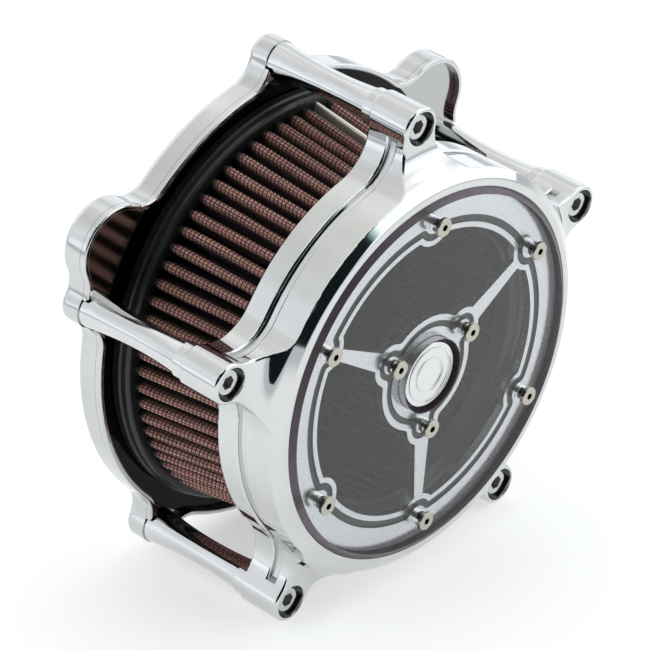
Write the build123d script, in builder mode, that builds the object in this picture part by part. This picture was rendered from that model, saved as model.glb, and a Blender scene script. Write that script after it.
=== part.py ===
from build123d import *
import math
import os

os.makedirs("parts", exist_ok=True)

# Motorcycle air cleaner: polished backplate, five standoffs, an open pleated
# filter and a ring cover that carries a clear round window.
# All sizes in millimetres.  Forward (towards the window) is -Y, up is +Z and the
# rear mounting face lies on Y = 0.  "Height" below means the forward distance
# from that mounting face.

# ---- shared layout ----
bolt_circle_radius = 95.0
bolt_count = 5
first_bolt_angle = 90.0
screw_circle_radius = 61.3
outer_lens_screw_count = 6
hub_screw_radius = 21.7
spoke_count = 3
first_spoke_angle = 30.0

# ---- backplate ----
plate_radius = 88.8
plate_thickness = 12.0
floor_height = 9.5
rim_width = 1.8
plate_lobe_radius = 7.4
plate_seat_radius = 7.8
plate_blend = 11.0
breather_across = 80.6
breather_up = 50.5
breather_lobe_radius = 16.4
throttle_bore_radius = 25.4
throttle_bolt_circle = 37.0
throttle_hole_radius = 3.4
breather_thread_radius = 6.35
breather_thread_depth = 7.0
passage_radius = 2.2
passage_height = 4.4
passage_outlet_at = 52.0
cover_thread_radius = 3.2
cover_thread_start = 2.0

# ---- standoffs ----
standoff_end_height = 59.5
standoff_bore_radius = 3.5

# ---- filter ----
pleat_count = 70
seam_angle = 81.0
rear_cap_start = 9.6
media_start = 17.0
media_end = 68.5
media_rear_radius = 77.5
media_front_radius = 70.3
front_cap_end = 76.0

# ---- cover ----
cover_radius = 78.0
cover_lobe_radius = 7.9
cover_blend = 17.0
lobe_face_height = 77.6
rim_height = 88.0
groove_start = 69.2
groove_end = 72.6
groove_depth = 1.6
groove_edge_radius = 1.0
front_edge_radius = 1.2
rear_edge_radius = 0.8
neck_reach = 82.117
cover_bore_radius = 73.6
ledge_start = 76.4
ledge_front = 79.25
ledge_radius = 57.5
lens_seat_radius = 71.9
counterbore_radius = 6.4
counterbore_floor = 69.4

# ---- window stack ----
trim_start = 80.25
trim_front = 83.25
trim_radius = 71.6
trim_groove_depth = 1.0
window_groove_radius = 60.5
groove_width = 2.8
land_width = 2.0
lens_start = 83.35
lens_front = 89.6
lens_bevel_start = 88.0
lens_radius = 71.7
lens_face_radius = 69.35
lens_centre_hole = 14.25
lens_screw_hole_radius = 2.75
medallion_radius = 12.7
medallion_front = 88.05

FRONT = Plane(origin=(0, 0, 0), x_dir=(1, 0, 0), z_dir=(0, -1, 0))
TURNING = Plane(origin=(0, 0, 0), x_dir=(1, 0, 0), z_dir=(0, 0, -1))


def save(part, name):
    part.label = name
    export_step(part, "parts/" + name + ".step")


def plate_outline():
    with BuildSketch() as outline:
        Circle(plate_radius)
        with PolarLocations(bolt_circle_radius, bolt_count, start_angle=first_bolt_angle):
            Circle(plate_lobe_radius)
        with Locations((-breather_across, breather_up), (breather_across, breather_up)):
            Circle(breather_lobe_radius)
        offset(amount=plate_blend)
        offset(amount=-plate_blend)
    return outline.sketch


def cover_outline():
    with BuildSketch() as outline:
        Circle(cover_radius)
        with PolarLocations(bolt_circle_radius, bolt_count, start_angle=first_bolt_angle):
            Circle(cover_lobe_radius)
        with PolarLocations(cover_radius + 6.0, bolt_count, start_angle=first_bolt_angle):
            Rectangle(16.0, 13.0)
        offset(amount=cover_blend)
        offset(amount=-cover_blend)
    return outline.sketch


# ---- backplate ----
with BuildPart() as backplate:
    with BuildSketch(FRONT):
        add(plate_outline())
    extrude(amount=plate_thickness)
    fillet(backplate.edges().group_by(Axis.Y)[-1], radius=3.0)
    fillet(backplate.edges().group_by(Axis.Y)[0], radius=0.8)
    # recessed front floor inside a narrow raised rim
    with BuildSketch(FRONT.offset(floor_height)):
        add(plate_outline())
        offset(amount=-rim_width)
    extrude(amount=plate_thickness, mode=Mode.SUBTRACT)
    # flat seats under the standoffs
    with BuildSketch(FRONT.offset(floor_height)):
        with PolarLocations(bolt_circle_radius, bolt_count, start_angle=first_bolt_angle):
            Circle(plate_seat_radius)
    extrude(amount=plate_thickness, mode=Mode.SUBTRACT)
    # tapped holes for the cover screws, closed at the rear
    with BuildSketch(FRONT.offset(cover_thread_start)):
        with PolarLocations(bolt_circle_radius, bolt_count, start_angle=first_bolt_angle):
            Circle(cover_thread_radius)
    extrude(amount=plate_thickness, mode=Mode.SUBTRACT)
    # intake bore and its three bolt holes
    with BuildSketch(FRONT):
        Circle(throttle_bore_radius)
        with PolarLocations(throttle_bolt_circle, spoke_count, start_angle=first_spoke_angle):
            Circle(throttle_hole_radius)
    extrude(amount=plate_thickness, mode=Mode.SUBTRACT)
    # tapped holes that hold the inlet ring
    with BuildSketch(FRONT.offset(3.5)):
        with PolarLocations(throttle_bolt_circle, spoke_count, start_angle=90):
            Circle(2.05)
    extrude(amount=plate_thickness, mode=Mode.SUBTRACT)
    # rear grooves for the intake gasket and the two breather seals
    with BuildSketch(FRONT):
        Circle(33.0)
        Circle(27.4, mode=Mode.SUBTRACT)
    extrude(amount=1.5, mode=Mode.SUBTRACT)
    with BuildSketch(FRONT):
        with Locations((-breather_across, breather_up), (breather_across, breather_up)):
            Circle(10.2)
            Circle(8.2, mode=Mode.SUBTRACT)
    extrude(amount=1.6, mode=Mode.SUBTRACT)
    # blind breather ports from the rear
    with BuildSketch(FRONT):
        with Locations((-breather_across, breather_up), (breather_across, breather_up)):
            Circle(breather_thread_radius)
    extrude(amount=breather_thread_depth, mode=Mode.SUBTRACT)
    # breather passages drilled inwards to an outlet under the filter
    breather_angle = math.degrees(math.atan2(breather_up, breather_across))
    breather_reach = math.hypot(breather_up, breather_across)
    for side_angle in (breather_angle, 180 - breather_angle):
        across = math.cos(math.radians(side_angle))
        up = math.sin(math.radians(side_angle))
        start = (passage_outlet_at * across, -passage_height, passage_outlet_at * up)
        with BuildSketch(Plane(origin=start, z_dir=(across, 0, up))):
            Circle(passage_radius)
        extrude(amount=breather_reach - passage_outlet_at, mode=Mode.SUBTRACT)
        with BuildSketch(FRONT.offset(2.0)):
            with Locations((passage_outlet_at * across, passage_outlet_at * up)):
                Circle(2.5)
        extrude(amount=plate_thickness, mode=Mode.SUBTRACT)
save(backplate.part, "backplate")

# ---- inlet ring with a rounded bell mouth ----
with BuildPart() as inlet_ring:
    with BuildSketch(TURNING):
        with BuildLine():
            Line((25.4, 9.5), (45.0, 9.5))
            Line((45.0, 9.5), (45.0, 12.0))
            Line((45.0, 12.0), (33.0, 12.0))
            Line((33.0, 12.0), (33.0, 16.4))
            ThreePointArc((33.0, 16.4), (31.9, 17.5), (30.4, 16.9))
            ThreePointArc((30.4, 16.9), (26.9, 14.6), (25.4, 11.0))
            Line((25.4, 11.0), (25.4, 9.5))
        make_face()
    revolve(axis=Axis.Y)
    with BuildSketch(FRONT.offset(9.5)):
        with PolarLocations(throttle_bolt_circle, spoke_count, start_angle=first_spoke_angle):
            Circle(throttle_hole_radius)
    extrude(amount=2.5, mode=Mode.SUBTRACT)
    with BuildSketch(FRONT.offset(9.5)):
        with PolarLocations(throttle_bolt_circle, spoke_count, start_angle=90):
            Circle(2.1)
    extrude(amount=2.5, mode=Mode.SUBTRACT)
    for turn in (90, 210, 330):
        spot = (
            throttle_bolt_circle * math.cos(math.radians(turn)),
            throttle_bolt_circle * math.sin(math.radians(turn)),
        )
        with BuildSketch(FRONT.offset(10.2)):
            with Locations(spot):
                Circle(2.1)
        with BuildSketch(FRONT.offset(12.0)):
            with Locations(spot):
                Circle(3.9)
        loft(mode=Mode.SUBTRACT)
save(inlet_ring.part, "inlet_ring")

# ---- one countersunk screw, repeated three times ----
with BuildPart() as countersunk_screw:
    with BuildSketch(TURNING):
        with BuildLine():
            Polyline(
                (0, 4.0), (1.6, 4.0), (2.0, 4.4), (2.0, 10.2), (3.75, 11.95), (0, 11.95), (0, 4.0)
            )
        make_face()
    revolve(axis=Axis.Y)
    with BuildSketch(FRONT.offset(10.4)):
        RegularPolygon(radius=1.45, side_count=6)
    extrude(amount=3.0, mode=Mode.SUBTRACT)

with BuildPart() as inlet_ring_screws:
    for turn in (90, 210, 330):
        across = throttle_bolt_circle * math.cos(math.radians(turn))
        up = throttle_bolt_circle * math.sin(math.radians(turn))
        with Locations((across, 0, up)):
            add(countersunk_screw.part)
save(inlet_ring_screws.part, "inlet_ring_screws")

# ---- seals on the rear face ----
with BuildPart() as throttle_gasket:
    with BuildSketch(FRONT.offset(0.05)):
        Circle(32.9)
        Circle(27.5, mode=Mode.SUBTRACT)
    extrude(amount=1.45)
save(throttle_gasket.part, "throttle_gasket")

for side, across in (("left", -breather_across), ("right", breather_across)):
    with BuildPart() as breather_o_ring:
        with BuildSketch(Plane(origin=(across, 0, breather_up), x_dir=(1, 0, 0), z_dir=(0, 0, -1))):
            with Locations((9.2, 0.8)):
                Circle(0.75)
        revolve(axis=Axis(origin=(across, 0, breather_up), direction=(0, 1, 0)))
    save(breather_o_ring.part, "breather_o_ring_" + side)

# ---- standoffs with a slim waist ----
with BuildPart() as standoff:
    with BuildSketch(TURNING):
        with BuildLine():
            Line((standoff_bore_radius, floor_height), (6.9, floor_height))
            Line((6.9, floor_height), (6.9, 11.0))
            ThreePointArc((6.9, 11.0), (5.35, 32.0), (6.3, 55.0))
            Line((6.3, 55.0), (7.0, 55.6))
            Line((7.0, 55.6), (7.0, standoff_end_height))
            Line((7.0, standoff_end_height), (standoff_bore_radius, standoff_end_height))
            Line((standoff_bore_radius, standoff_end_height), (standoff_bore_radius, floor_height))
        make_face()
    revolve(axis=Axis.Y)

for number in range(bolt_count):
    turn = math.radians(first_bolt_angle + number * 360 / bolt_count)
    across = bolt_circle_radius * math.cos(turn)
    up = bolt_circle_radius * math.sin(turn)
    with BuildPart() as placed_standoff:
        with Locations((across, 0, up)):
            add(standoff.part)
    save(placed_standoff.part, "standoff_" + str(number + 1))

# ---- filter end caps ----
with BuildPart() as filter_rear_cap:
    with BuildSketch(TURNING):
        with BuildLine():
            Line((58.0, rear_cap_start), (80.1, rear_cap_start))
            ThreePointArc((80.1, rear_cap_start), (80.56, 9.79), (80.75, 10.25))
            Line((80.75, 10.25), (80.75, 13.0))
            Line((80.75, 13.0), (80.0, 13.6))
            Line((80.0, 13.6), (80.0, 15.4))
            ThreePointArc((80.0, 15.4), (79.53, 16.53), (78.4, media_start))
            Line((78.4, media_start), (58.0, media_start))
            Line((58.0, media_start), (58.0, rear_cap_start))
        make_face()
    revolve(axis=Axis.Y)
save(filter_rear_cap.part, "filter_rear_cap")

with BuildPart() as filter_front_cap:
    with BuildSketch(TURNING):
        with BuildLine():
            Line((53.5, media_end), (71.6, media_end))
            ThreePointArc((71.6, media_end), (72.45, 68.85), (72.8, 69.7))
            Line((72.8, 69.7), (72.8, 74.6))
            ThreePointArc((72.8, 74.6), (72.39, 75.59), (71.4, front_cap_end))
            Line((71.4, front_cap_end), (54.5, front_cap_end))
            Line((54.5, front_cap_end), (53.5, 75.0))
            Line((53.5, 75.0), (53.5, media_end))
        make_face()
    revolve(axis=Axis.Y)
save(filter_front_cap.part, "filter_front_cap")


# ---- pleated media: outer and inner faces of a folded sheet ----
def pleat_points(crest_radius, outer_face):
    points = []
    pitch = 360 / pleat_count
    scale = crest_radius / media_rear_radius
    for pleat in range(pleat_count):
        middle = seam_angle + pleat * pitch
        drop = 6.0 if pleat == 0 else 0.0
        if outer_face:
            spots = (
                (middle - 0.65, media_rear_radius - drop),
                (middle + 0.65, media_rear_radius - drop),
                (middle + pitch / 2, media_rear_radius - 11.5),
            )
        else:
            spots = (
                (middle, media_rear_radius - 5.5 - drop * 0.9),
                (middle + pitch / 2 - 0.75, media_rear_radius - 16.5),
                (middle + pitch / 2 + 0.75, media_rear_radius - 16.5),
            )
        for turn, reach in spots:
            across = reach * scale * math.cos(math.radians(turn))
            up = reach * scale * math.sin(math.radians(turn))
            points.append((across, up))
    return points


with BuildPart() as filter_media:
    with BuildSketch(FRONT.offset(media_start)):
        with BuildLine():
            Polyline(*pleat_points(media_rear_radius, True), close=True)
        make_face()
    with BuildSketch(FRONT.offset(media_end)):
        with BuildLine():
            Polyline(*pleat_points(media_front_radius, True), close=True)
        make_face()
    loft(ruled=True)
    with BuildSketch(FRONT.offset(media_start)):
        with BuildLine():
            Polyline(*pleat_points(media_rear_radius, False), close=True)
        make_face()
    with BuildSketch(FRONT.offset(media_end)):
        with BuildLine():
            Polyline(*pleat_points(media_front_radius, False), close=True)
        make_face()
    loft(ruled=True, mode=Mode.SUBTRACT)
save(filter_media.part, "filter_media")

# ---- metal clip that closes the seam of the media ----
with BuildPart() as seam_clip:
    for height, crest in ((media_start, media_rear_radius), (media_end, media_front_radius)):
        with BuildSketch(FRONT.offset(height)):
            turn = math.radians(seam_angle)
            middle = crest - 2.6
            with Locations(Location((middle * math.cos(turn), middle * math.sin(turn), 0), seam_angle)):
                Rectangle(5.6, 3.0)
    loft(ruled=True)
save(seam_clip.part, "seam_clip")

# ---- ring cover ----
with BuildPart() as cover_ring:
    with BuildSketch(FRONT.offset(standoff_end_height)):
        add(cover_outline())
    extrude(amount=rim_height - standoff_end_height)
    # crowned front surface that sweeps down to the five screw lobes
    with BuildSketch(TURNING):
        with BuildLine():
            Line((0, standoff_end_height), (0, rim_height))
            Line((0, rim_height), (73.4, rim_height))
            ThreePointArc((73.4, rim_height), (74.327, 87.853), (75.163, 87.427))
            Line((75.163, 87.427), (78.35, 85.112))
            ThreePointArc((78.35, 85.112), (79.226, 84.326), (79.92, 83.371))
            Line((79.92, 83.371), (80.654, 82.1))
            ThreePointArc((80.654, 82.1), (83.948, 78.806), (88.448, lobe_face_height))
            Line((88.448, lobe_face_height), (110, lobe_face_height))
            Line((110, lobe_face_height), (110, standoff_end_height))
            Line((110, standoff_end_height), (0, standoff_end_height))
        make_face()
    revolve(axis=Axis.Y, mode=Mode.INTERSECT)
    # groove round the side wall, stopping short of the screw bosses
    with BuildSketch(FRONT.offset(groove_start)):
        add(cover_outline())
        with BuildSketch(mode=Mode.PRIVATE) as groove_floor:
            add(cover_outline())
            offset(amount=-groove_depth)
        add(groove_floor.sketch, mode=Mode.SUBTRACT)
        with PolarLocations(bolt_circle_radius, bolt_count, start_angle=first_bolt_angle):
            Circle(cover_lobe_radius + 0.5, mode=Mode.SUBTRACT)
    extrude(amount=groove_end - groove_start, mode=Mode.SUBTRACT)
    # soft edges: rear rim, crowned front outline and both lips of the groove
    fillet(cover_ring.edges().group_by(Axis.Y)[-1], radius=rear_edge_radius)
    front_edges = []
    for wall in cover_ring.faces():
        if abs(wall.normal_at().Y) < 0.01:
            for edge in wall.edges():
                if -edge.bounding_box().max.Y > lobe_face_height - 0.05:
                    front_edges.append(edge)
    fillet(front_edges, radius=front_edge_radius)
    groove_lips = []
    for edge in cover_ring.edges():
        middle = edge.position_at(0.5)
        reach = math.hypot(middle.X, middle.Z)
        level = min(abs(-middle.Y - groove_start), abs(-middle.Y - groove_end))
        on_outline = min(abs(reach - cover_radius), abs(reach - neck_reach)) < 0.05
        if edge.bounding_box().size.Y < 0.01 and level < 0.01 and on_outline:
            groove_lips.append(edge)
    fillet(groove_lips, radius=groove_edge_radius)
    # counterbored screw holes
    with BuildSketch(FRONT.offset(counterbore_floor)):
        with PolarLocations(bolt_circle_radius, bolt_count, start_angle=first_bolt_angle):
            Circle(counterbore_radius)
    extrude(amount=20, mode=Mode.SUBTRACT)
    with BuildSketch(FRONT.offset(standoff_end_height)):
        with PolarLocations(bolt_circle_radius, bolt_count, start_angle=first_bolt_angle):
            Circle(3.5)
    extrude(amount=20, mode=Mode.SUBTRACT)
    # inside bore, window ledge and window seat
    with BuildSketch(FRONT.offset(standoff_end_height)):
        Circle(cover_bore_radius)
    extrude(amount=ledge_start - standoff_end_height, mode=Mode.SUBTRACT)
    with BuildSketch(FRONT.offset(ledge_start)):
        Circle(ledge_radius)
    extrude(amount=20, mode=Mode.SUBTRACT)
    with BuildSketch(FRONT.offset(ledge_front)):
        Circle(lens_seat_radius)
    extrude(amount=20, mode=Mode.SUBTRACT)
    # tapped holes for the outer window screws
    with BuildSketch(FRONT.offset(ledge_start)):
        with PolarLocations(screw_circle_radius, outer_lens_screw_count, start_angle=first_spoke_angle):
            Circle(2.05)
    extrude(amount=20, mode=Mode.SUBTRACT)
save(cover_ring.part, "cover_ring")

# ---- window seal ----
with BuildPart() as lens_seal:
    with BuildSketch(FRONT.offset(ledge_front)):
        Circle(71.5)
        Circle(58.5, mode=Mode.SUBTRACT)
        with PolarLocations(screw_circle_radius, outer_lens_screw_count, start_angle=first_spoke_angle):
            Circle(2.2, mode=Mode.SUBTRACT)
    extrude(amount=trim_start - ledge_front)
save(lens_seal.part, "lens_seal")


# ---- satin trim plate behind the window ----
def window_edge(shrink):
    with BuildSketch() as edge:
        Circle(window_groove_radius - shrink)
        with PolarLocations(screw_circle_radius, outer_lens_screw_count, start_angle=first_spoke_angle):
            Circle(4.2 + shrink, mode=Mode.SUBTRACT)
        fillet(edge.vertices(), radius=max(3.2 - shrink, 0.3))
    return edge.sketch


def hub_edge(grow):
    with BuildSketch() as edge:
        Circle(17.8 + grow)
        with PolarLocations(hub_screw_radius, spoke_count, start_angle=first_spoke_angle):
            Circle(3.4 + grow)
        with PolarLocations(hub_screw_radius - 3.0, spoke_count, start_angle=first_spoke_angle):
            Circle(3.2 + grow)
        offset(amount=2.6)
        offset(amount=-2.6)
    return edge.sketch


with BuildPart() as trim_plate:
    with BuildSketch(FRONT.offset(trim_start)):
        Circle(trim_radius)
        add(window_edge(groove_width + land_width), mode=Mode.SUBTRACT)
        add(hub_edge(4.7))
        for number in range(spoke_count):
            turn = first_spoke_angle + number * 360 / spoke_count
            with BuildSketch(mode=Mode.PRIVATE) as spoke:
                with BuildLine():
                    Polyline(
                        (20.0, -4.1), (58.0, -1.9), (58.0, 1.9), (20.0, 4.1), close=True
                    )
                make_face()
            add(spoke.sketch, rotation=turn)
    extrude(amount=trim_front - trim_start)
    # two dark decorative grooves follow the window edge and the hub edge
    with BuildSketch(FRONT.offset(trim_front - trim_groove_depth)):
        add(window_edge(0))
        add(window_edge(groove_width), mode=Mode.SUBTRACT)
    extrude(amount=trim_groove_depth, mode=Mode.SUBTRACT)
    with BuildSketch(FRONT.offset(trim_front - trim_groove_depth)):
        add(hub_edge(2.4))
        add(hub_edge(0), mode=Mode.SUBTRACT)
    extrude(amount=trim_groove_depth, mode=Mode.SUBTRACT)
    # screw holes
    with BuildSketch(FRONT.offset(trim_start)):
        with PolarLocations(screw_circle_radius, outer_lens_screw_count, start_angle=first_spoke_angle):
            Circle(2.2)
        with PolarLocations(hub_screw_radius, spoke_count, start_angle=first_spoke_angle):
            Circle(2.05)
    extrude(amount=trim_front - trim_start, mode=Mode.SUBTRACT)
save(trim_plate.part, "trim_plate")

# ---- clear round window with a bevelled edge ----
with BuildPart() as lens:
    with BuildSketch(TURNING):
        with BuildLine():
            Polyline(
                (lens_centre_hole, lens_start),
                (lens_radius, lens_start),
                (lens_radius, lens_bevel_start),
                (lens_face_radius, lens_front),
                (lens_centre_hole, lens_front),
                close=True,
            )
        make_face()
    revolve(axis=Axis.Y)
    with BuildSketch(FRONT.offset(lens_start)):
        with PolarLocations(screw_circle_radius, outer_lens_screw_count, start_angle=first_spoke_angle):
            Circle(lens_screw_hole_radius)
        with PolarLocations(hub_screw_radius, spoke_count, start_angle=first_spoke_angle):
            Circle(lens_screw_hole_radius)
    extrude(amount=lens_front - lens_start, mode=Mode.SUBTRACT)
save(lens.part, "lens")

# ---- plain round medallion in the middle of the window ----
with BuildPart() as medallion:
    with BuildSketch(FRONT.offset(trim_front)):
        Circle(medallion_radius)
    extrude(amount=medallion_front - trim_front)
    fillet(medallion.edges().group_by(Axis.Y)[0], radius=0.5)
save(medallion.part, "medallion")


# ---- low-head window screws with a plain shoulder inside the window ----
def window_screw(shank_end):
    with BuildPart() as screw:
        with BuildSketch(TURNING):
            with BuildLine():
                Line((0, shank_end), (2.0, shank_end))
                Line((2.0, shank_end), (2.0, lens_start))
                Line((2.0, lens_start), (2.5, lens_start))
                Line((2.5, lens_start), (2.5, lens_front))
                Line((2.5, lens_front), (3.56, lens_front))
                Line((3.56, lens_front), (3.56, 90.7))
                ThreePointArc((3.56, 90.7), (3.44, 90.98), (3.16, 91.1))
                Line((3.16, 91.1), (0, 91.1))
                Line((0, 91.1), (0, shank_end))
            make_face()
        revolve(axis=Axis.Y)
        with BuildSketch(FRONT.offset(88.4)):
            RegularPolygon(radius=1.35, side_count=6)
        extrude(amount=4.0, mode=Mode.SUBTRACT)
    return screw.part


outer_screw = window_screw(76.6)
hub_screw = window_screw(80.4)

with BuildPart() as outer_lens_screws:
    for number in range(outer_lens_screw_count):
        turn = math.radians(first_spoke_angle + number * 360 / outer_lens_screw_count)
        with Locations((screw_circle_radius * math.cos(turn), 0, screw_circle_radius * math.sin(turn))):
            add(outer_screw)
save(outer_lens_screws.part, "outer_lens_screws")

with BuildPart() as hub_lens_screws:
    for number in range(spoke_count):
        turn = math.radians(first_spoke_angle + number * 360 / spoke_count)
        with Locations((hub_screw_radius * math.cos(turn), 0, hub_screw_radius * math.sin(turn))):
            add(hub_screw)
save(hub_lens_screws.part, "hub_lens_screws")

# ---- long socket-head screws that clamp the cover ----
with BuildPart() as cover_screw:
    with BuildSketch(TURNING):
        with BuildLine():
            Line((0, 2.5), (2.55, 2.5))
            Line((2.55, 2.5), (3.15, 3.1))
            Line((3.15, 3.1), (3.15, counterbore_floor))
            Line((3.15, counterbore_floor), (4.75, counterbore_floor))
            Line((4.75, counterbore_floor), (4.75, 75.36))
            ThreePointArc((4.75, 75.36), (4.6, 75.71), (4.25, 75.86))
            Line((4.25, 75.86), (0, 75.86))
            Line((0, 75.86), (0, 2.5))
        make_face()
    revolve(axis=Axis.Y)
    with BuildSketch(FRONT.offset(72.86)):
        RegularPolygon(radius=2.38, side_count=6, major_radius=False)
    extrude(amount=5.0, mode=Mode.SUBTRACT)

with BuildPart() as cover_screws:
    for number in range(bolt_count):
        turn = math.radians(first_bolt_angle + number * 360 / bolt_count)
        with Locations((bolt_circle_radius * math.cos(turn), 0, bolt_circle_radius * math.sin(turn))):
            add(cover_screw.part)
save(cover_screws.part, "cover_screws")
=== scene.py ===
import math
import random

import bmesh
import bpy
import numpy as np
from mathutils import Matrix, Vector


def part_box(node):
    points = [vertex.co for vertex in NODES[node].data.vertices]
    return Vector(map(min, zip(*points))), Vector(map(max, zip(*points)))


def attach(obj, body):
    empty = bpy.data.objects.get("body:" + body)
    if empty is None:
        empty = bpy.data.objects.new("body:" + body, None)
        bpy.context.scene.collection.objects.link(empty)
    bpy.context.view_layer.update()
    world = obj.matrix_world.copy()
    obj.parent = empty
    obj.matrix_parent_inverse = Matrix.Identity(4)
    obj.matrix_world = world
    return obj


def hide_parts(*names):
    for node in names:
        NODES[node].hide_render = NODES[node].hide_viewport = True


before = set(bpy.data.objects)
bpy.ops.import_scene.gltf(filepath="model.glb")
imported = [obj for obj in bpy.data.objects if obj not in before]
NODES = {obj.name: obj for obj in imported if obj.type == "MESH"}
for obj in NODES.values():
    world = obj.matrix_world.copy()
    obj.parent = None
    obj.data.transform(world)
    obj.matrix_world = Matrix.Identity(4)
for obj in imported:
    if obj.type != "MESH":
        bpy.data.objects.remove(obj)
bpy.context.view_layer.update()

scene = bpy.context.scene
scene.view_settings.view_transform = "Standard"
MM = 0.001

# Circles of screws round the centre line: radius in mm, how many, first angle in degrees.
COVER_SCREWS = (95.0, 5, 90.0)
OUTER_WINDOW_SCREWS = (61.3, 6, 30.0)
HUB_WINDOW_SCREWS = (21.7, 3, 30.0)
INLET_RING_SCREWS = (37.0, 3, 90.0)
# Where each breather lobe has its middle, to either side of the centre line and above it, in mm.
LOBE_ACROSS, LOBE_UP = 80.6, 50.5


# ------------------------------------------------------------------ camera
AZIMUTH, ELEVATION, ROLL = -48.988, 31.797, 3.382
PICTURE_WIDTH, SENSOR_WIDTH = 650, 36
FOCAL_PIXELS = 4455.8
CAMERA_DISTANCE = 1.5851
LOOK_AT = (0, -0.0776, 0)
# LOOK_AT shows this many pixels right of the middle of the picture, and above it.
LOOK_AT_RIGHT, LOOK_AT_UP = 82.98, -38.02


def aim_camera():
    """Camera at the viewing angle of the product shot, rolled a little because the air cleaner leans."""
    azimuth, elevation, roll = (math.radians(a) for a in (AZIMUTH, ELEVATION, ROLL))
    back = Vector((
        math.sin(azimuth) * math.cos(elevation),
        -math.cos(azimuth) * math.cos(elevation),
        math.sin(elevation),
    ))
    right = (-back).cross(Vector((0, 0, 1))).normalized()
    up = right.cross(-back).normalized()
    right, up = (
        right * math.cos(roll) + up * math.sin(roll),
        up * math.cos(roll) - right * math.sin(roll),
    )
    turn = Matrix((right, up, back)).transposed()
    offset = Vector((LOOK_AT_RIGHT / FOCAL_PIXELS, LOOK_AT_UP / FOCAL_PIXELS, -1)).normalized()
    seen = turn @ offset
    turn = seen.rotation_difference(-back).to_matrix() @ turn
    data = bpy.data.cameras.new("camera")
    data.sensor_width = SENSOR_WIDTH
    data.lens = FOCAL_PIXELS / PICTURE_WIDTH * SENSOR_WIDTH
    data.clip_start, data.clip_end = 0.05, 20
    camera = bpy.data.objects.new("camera", data)
    scene.collection.objects.link(camera)
    camera.matrix_world = Matrix.Translation(Vector(LOOK_AT) + back * CAMERA_DISTANCE) @ turn.to_4x4()
    scene.camera = camera


aim_camera()


# ------------------------------------------------------------------ node helpers
# Most of a noise texture's values lie between these two.
NOISE_LOW, NOISE_HIGH = 0.3, 0.7


class Graph:
    """Short names for adding and linking the nodes of one tree."""

    def __init__(self, tree):
        self.nodes = tree.nodes
        self.links = tree.links

    def add(self, kind, inputs=None, **settings):
        node = self.nodes.new(kind)
        for key, value in settings.items():
            setattr(node, key, value)
        self.fill(node, inputs or {})
        return node

    def fill(self, node, inputs):
        for key, value in inputs.items():
            self.set(node.inputs[key], value)

    def set(self, socket, value):
        if isinstance(value, bpy.types.NodeSocket):
            self.links.new(value, socket)
        else:
            socket.default_value = value

    def math(self, operation, a, b=0.0, c=0.0):
        return self.add("ShaderNodeMath", {0: a, 1: b, 2: c}, operation=operation).outputs[0]

    def plus(self, a, b):
        return self.math("ADD", a, b)

    def minus(self, a, b):
        return self.math("SUBTRACT", a, b)

    def times(self, a, b):
        return self.math("MULTIPLY", a, b)

    def diagonal(self, a, b):
        return self.math("SQRT", self.plus(self.times(a, a), self.times(b, b)))

    def vector(self, operation, *values):
        return self.add("ShaderNodeVectorMath", dict(enumerate(values)), operation=operation)

    def noise(self, vector, scale, detail=2.0, rough=0.5):
        inputs = {"Vector": vector, "Scale": scale, "Detail": detail, "Roughness": rough}
        return self.add("ShaderNodeTexNoise", inputs).outputs["Fac"]

    def ramp(self, value, stops):
        node = self.add("ShaderNodeValToRGB", {"Fac": value})
        points = node.color_ramp.elements
        while len(points) < len(stops):
            points.new(0.5)
        for point, (at, colour) in zip(points, stops):
            point.position = at
            point.color = (*colour, 1)
        return node.outputs["Color"]

    def span(self, value, low, high, to_low=0.0, to_high=1.0, kind="SMOOTHSTEP"):
        node = self.add(
            "ShaderNodeMapRange",
            {"Value": value, "From Min": low, "From Max": high, "To Min": to_low, "To Max": to_high},
            interpolation_type=kind,
        )
        return node.outputs["Result"]

    def fall(self, value, low, high):
        """1 up to low and 0 from high, smooth in between."""
        return self.span(value, low, high, 1.0, 0.0)

    def spread(self, noise, low, high):
        """A noise texture stretched from low to high."""
        return self.span(noise, NOISE_LOW, NOISE_HIGH, low, high)

    def mix(self, factor, a, b):
        node = self.add("ShaderNodeMix", data_type="RGBA")
        self.set(node.inputs["Factor"], factor)
        for socket, value in ((node.inputs[6], a), (node.inputs[7], b)):
            self.set(socket, value if isinstance(value, bpy.types.NodeSocket) else (*value, 1))
        return node.outputs[2]

    def bump(self, height, strength, distance, normal=None):
        inputs = {"Strength": strength, "Distance": distance, "Height": height}
        if normal is not None:
            inputs["Normal"] = normal
        return self.add("ShaderNodeBump", inputs).outputs["Normal"]


class Polar:
    """Distances in millimetres read from the object's own coordinates.

    The radius is from the centre line, and the height is forwards from the mounting face.
    """

    def __init__(self, g, place):
        parts = g.add("ShaderNodeSeparateXYZ", {"Vector": place}).outputs
        self.g = g
        self.x = g.times(parts[0], 1000.0)
        self.z = g.times(parts[2], 1000.0)
        self.height = g.times(parts[1], -1000.0)
        self.radius = g.diagonal(self.x, self.z)
        self.angle = g.math("ARCTAN2", self.z, self.x)

    def to_nearest(self, centre_radius, count, first_angle):
        """Distance to the nearest of several points spread evenly round a circle."""
        g = self.g
        half = math.pi / count
        turned = g.minus(self.angle, math.radians(first_angle))
        folded = g.math("WRAP", turned, half, -half)
        along = g.minus(g.times(self.radius, g.math("COSINE", folded)), centre_radius)
        across = g.times(self.radius, g.math("SINE", folded))
        return g.diagonal(along, across)

    def between(self, value, low, high, soft=0.05):
        """1 from low to high and 0 outside, with edges this soft."""
        g = self.g
        above = g.span(value, low - soft, low + soft)
        below = g.fall(value, high - soft, high + soft)
        return g.times(above, below)


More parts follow.
